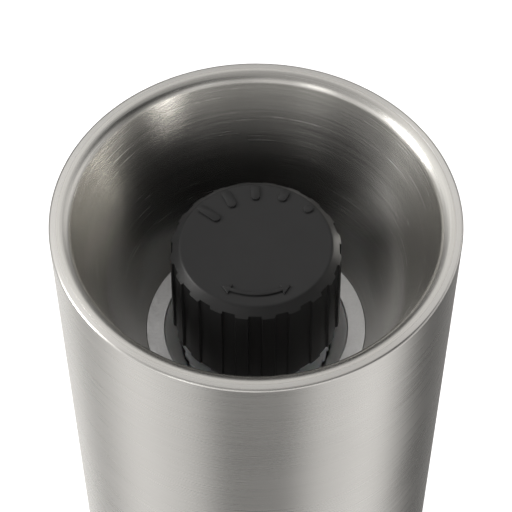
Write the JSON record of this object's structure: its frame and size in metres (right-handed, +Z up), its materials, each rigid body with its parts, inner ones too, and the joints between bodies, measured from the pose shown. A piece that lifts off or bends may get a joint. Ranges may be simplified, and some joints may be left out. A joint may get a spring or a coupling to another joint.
{
  "type": "burr coffee grinder",
  "caption": "Cordless cylindrical burr coffee grinder in brushed steel, outlet end up: bell outlet with a grind-setting knob, ceramic burrs, bean hopper, geared motor head.",
  "frame": {"origin": "middle of the flat ring that the grinder stands on, at the head end", "axes": "+Z up along the body to the coffee outlet, -Y towards the viewer"},
  "size_m": [0.062, 0.062, 0.19],
  "materials": {
    "sleeve_steel": "fine circumferential brushing, satin",
    "bell_steel": "circumferential brushing, half gloss",
    "dark_steel": "plain bright steel",
    "ring_grey": "satin grey",
    "ceramic": "bluish white fired ceramic",
    "knob_plastic": "black, fine satin texture",
    "case_plastic": "black moulded",
    "gear_plastic": "natural acetal",
    "brass": "plain",
    "rubber": "matt",
    "magnet": "ferrite, matt",
    "copper": "laminated core with copper winding",
    "cell_wrap": "plain shrink wrap",
    "board_green": "solder mask"
  },
  "bodies": {
    "head": {"head_sleeve": "sleeve_steel", "tact_switch": "case_plastic", "switch_board": "board_green", "battery_tray": "case_plastic", "contact_plate_cap_side": "brass", "contact_plate_motor_side": "brass", "battery_cell_1": "cell_wrap", "battery_cell_2": "cell_wrap", "battery_cell_3": "cell_wrap", "battery_cell_4": "cell_wrap", "battery_cell_5": "cell_wrap", "battery_cell_6": "cell_wrap", "motor_can": "dark_steel", "motor_end_bell": "case_plastic", "stator_magnet_right": "magnet", "stator_magnet_left": "magnet", "motor_plate": "dark_steel", "ring_gear": "gear_plastic", "gearbox_lid": "gear_plastic", "output_bush": "brass", "gearbox_screw_1": "dark_steel", "gearbox_screw_2": "dark_steel", "gearbox_screw_3": "dark_steel", "head_deck": "case_plastic", "o_ring": "rubber", "deck_screw_1": "dark_steel", "deck_screw_2": "dark_steel", "deck_screw_3": "dark_steel"},
    "cap": {"battery_cap": "case_plastic"},
    "button": {"push_button": "sleeve_steel", "button_spring": "dark_steel"},
    "output_carrier": {"planet_carrier": "dark_steel"},
    "planet_1": {"planet_gear_1": "gear_plastic"},
    "planet_2": {"planet_gear_2": "gear_plastic"},
    "planet_3": {"planet_gear_3": "gear_plastic"},
    "rotor": {"rotor_core": "copper", "rotor_shaft": "dark_steel", "sun_gear": "brass"},
    "grinder_body": {"outer_sleeve": "sleeve_steel", "bell": "bell_steel", "hopper_liner": "case_plastic", "shaft_spider": "case_plastic", "shaft_bush": "brass", "burr_carrier": "case_plastic", "outer_burr": "ceramic", "retaining_ring": "ring_grey", "carrier_screw_1": "dark_steel", "carrier_screw_2": "dark_steel", "carrier_screw_3": "dark_steel"},
    "shaft": {"drive_shaft": "dark_steel", "burr_spring": "dark_steel"},
    "moving_burr": {"inner_burr": "ceramic"},
    "knob": {"grind_knob": "knob_plastic", "threaded_insert": "brass"}
  },
  "joints": [
    {"name": "body_lift", "type": "slide", "parent": "head", "child": "grinder_body", "axis": [0, 0, 1], "range_m": [0, 0.06]},
    {"name": "cap_turn", "type": "hinge", "parent": "head", "child": "cap", "pos_m": [0, 0, 0.003], "axis": [0, 0, 1], "range_deg": [0, 30]},
    {"name": "button_press", "type": "slide", "parent": "cap", "child": "button", "axis": [0, 0, 1], "range_m": [0, 0.002], "stiffness_N_per_m": 300, "springref_m": -0.002, "deforming": ["button_spring"]},
    {"name": "carrier_spin", "type": "hinge", "parent": "head", "child": "output_carrier", "pos_m": [0, 0, 0.082], "axis": [0, 0, 1], "continuous": true},
    {"name": "planet_1_spin", "type": "hinge", "parent": "output_carrier", "child": "planet_1", "pos_m": [0.0084, 0, 0.075], "axis": [0, 0, 1], "continuous": true},
    {"name": "planet_2_spin", "type": "hinge", "parent": "output_carrier", "child": "planet_2", "pos_m": [-0.0042, 0.00727, 0.075], "axis": [0, 0, 1], "continuous": true},
    {"name": "planet_3_spin", "type": "hinge", "parent": "output_carrier", "child": "planet_3", "pos_m": [-0.0042, -0.00727, 0.075], "axis": [0, 0, 1], "continuous": true},
    {"name": "rotor_spin", "type": "hinge", "parent": "head", "child": "rotor", "pos_m": [0, 0, 0.05], "axis": [0, 0, 1], "continuous": true},
    {"name": "shaft_spin", "type": "hinge", "parent": "grinder_body", "child": "shaft", "pos_m": [0, 0, 0.107], "axis": [0, 0, 1], "continuous": true},
    {"name": "burr_slide", "type": "slide", "parent": "shaft", "child": "moving_burr", "axis": [0, 0, 1], "range_m": [-0.0005, 0.001], "deforming": ["burr_spring"]},
    {"name": "knob_turn", "type": "hinge", "parent": "moving_burr", "child": "knob", "pos_m": [0, 0, 0.17], "axis": [0, 0, 1], "range_deg": [-180, 360]}
  ],
  "couplings": [
    {"joint": "planet_1_spin", "follows": "carrier_spin", "ratio": -2.6},
    {"joint": "planet_2_spin", "follows": "carrier_spin", "ratio": -2.6},
    {"joint": "planet_3_spin", "follows": "carrier_spin", "ratio": -2.6},
    {"joint": "rotor_spin", "follows": "carrier_spin", "ratio": 5.3333},
    {"joint": "shaft_spin", "follows": "carrier_spin", "ratio": 1},
    {"joint": "burr_slide", "follows": "knob_turn", "m_per_rad": 0.00015915}
  ]
}
